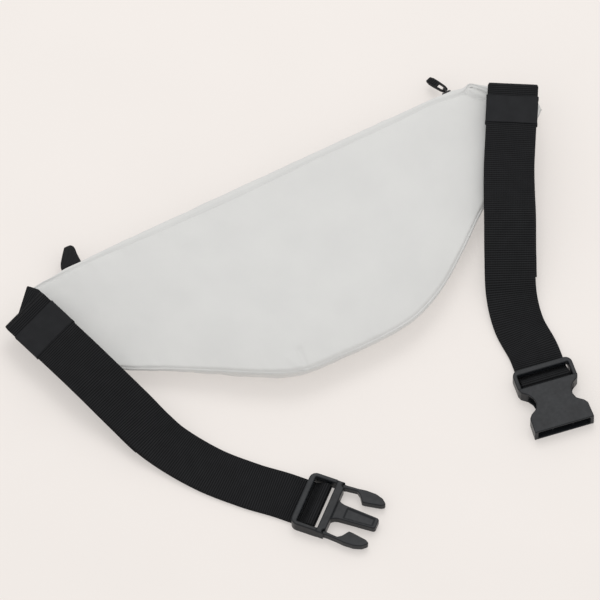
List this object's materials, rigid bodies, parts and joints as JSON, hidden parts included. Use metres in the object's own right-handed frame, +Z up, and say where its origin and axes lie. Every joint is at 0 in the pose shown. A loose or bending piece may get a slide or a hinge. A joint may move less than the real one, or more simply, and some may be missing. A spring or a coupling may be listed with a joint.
{
  "type": "waist pack",
  "caption": "Half-moon zipped waist pack lying back panel up, with two adjustable webbing straps, elastic keepers and an open side-release buckle",
  "frame": {"origin": "middle of the bottom of the whole pack's bounding box, on the surface that it lies on", "axes": "+X along the zip towards the closed end of the slider, +Y towards the zip edge of the bag, +Z up through the back panel"},
  "size_m": [0.4546, 0.3348, 0.0336],
  "materials": {
    "shell_fabric": "matte coated woven polyester",
    "lining_fabric": "plain woven lining",
    "foam": "soft closed-cell foam",
    "webbing": "ribbed woven webbing",
    "elastic": "finely woven elastic",
    "buckle_plastic": "satin moulded acetal",
    "zip_tape": "woven zip tape",
    "zip_coil": "nylon coil",
    "zip_metal": "black lacquered",
    "pull_rubber": "matte moulded",
    "tab_fabric": "folded ribbon",
    "thread": "polyester thread"
  },
  "bodies": {
    "bag": {"back_panel": "shell_fabric", "front_panel": "shell_fabric", "bottom_gusset": "shell_fabric", "top_gusset_back": "shell_fabric", "top_gusset_front": "shell_fabric", "back_foam_pad": "foam", "back_lining": "lining_fabric", "front_lining": "lining_fabric", "zip_coil_back": "zip_coil", "zip_coil_front": "zip_coil", "zip_tape_back": "zip_tape", "zip_tape_front": "zip_tape", "zip_bottom_stop": "zip_metal", "zip_end_tab": "tab_fabric", "left_webbing_anchor": "webbing", "right_webbing_anchor": "webbing", "left_anchor_stitches": "thread", "right_anchor_stitches": "thread"},
    "zip_slider": {"zip_slider": "zip_metal", "zip_slider_bridge": "zip_metal", "zip_pull_link": "zip_metal"},
    "zip_pull": {"zip_pull_loop": "pull_rubber", "zip_pull_grip_ribs": "pull_rubber"},
    "left_strap": {"left_strap": "webbing"},
    "left_keeper": {"left_keeper": "elastic"},
    "right_strap": {"right_strap": "webbing"},
    "right_keeper": {"right_keeper": "elastic"},
    "male_buckle": {"male_buckle_body": "buckle_plastic"},
    "latch_left": {"male_latch_arm_left": "buckle_plastic"},
    "latch_right": {"male_latch_arm_right": "buckle_plastic"},
    "female_buckle": {"female_buckle_body": "buckle_plastic"}
  },
  "joints": [
    {"name": "zip_slide", "type": "slide", "parent": "bag", "child": "zip_slider", "axis": [1, 0, 0], "range_m": [-0.29, 0]},
    {"name": "pull_swing", "type": "hinge", "parent": "zip_slider", "child": "zip_pull", "pos_m": [0.16542, 0.1518, 0.01114], "axis": [0, 0.2079, 0.9781], "range_deg": [-100, 60]},
    {"name": "left_strap_lift", "type": "hinge", "parent": "bag", "child": "left_strap", "pos_m": [-0.20918, 0.123, 0.02392], "axis": [-0.9287, -0.2479, -0.2756], "range_deg": [0, 120]},
    {"name": "right_strap_lift", "type": "hinge", "parent": "bag", "child": "right_strap", "pos_m": [0.20974, 0.12299, 0.024], "axis": [-0.8561, 0.5167, 0], "range_deg": [0, 120]},
    {"name": "left_keeper_slide", "type": "slide", "parent": "left_strap", "child": "left_keeper", "axis": [0.2579, -0.9662, 0], "range_m": [0, 0.02]},
    {"name": "right_keeper_slide", "type": "slide", "parent": "right_strap", "child": "right_keeper", "axis": [-0.5167, -0.8561, 0], "range_m": [0, 0.02]},
    {"name": "male_buckle_tilt", "type": "hinge", "parent": "left_strap", "child": "male_buckle", "pos_m": [-0.08825, -0.12003, 0.00465], "axis": [0.7597, 0.6503, 0], "range_deg": [0, 25]},
    {"name": "female_buckle_tilt", "type": "hinge", "parent": "right_strap", "child": "female_buckle", "pos_m": [0.11328, -0.10504, 0.00465], "axis": [0.9855, -0.17, 0], "range_deg": [0, 25]},
    {"name": "latch_left_squeeze", "type": "hinge", "parent": "male_buckle", "child": "latch_left", "pos_m": [-0.06389, -0.11589, 0.00475], "axis": [0, 0, 1], "range_deg": [-8, 0], "stiffness_Nm_per_rad": 0.05},
    {"name": "latch_right_squeeze", "type": "hinge", "parent": "male_buckle", "child": "latch_right", "pos_m": [-0.0961, -0.14346, 0.00475], "axis": [0, 0, 1], "range_deg": [0, 8], "stiffness_Nm_per_rad": 0.05}
  ]
}
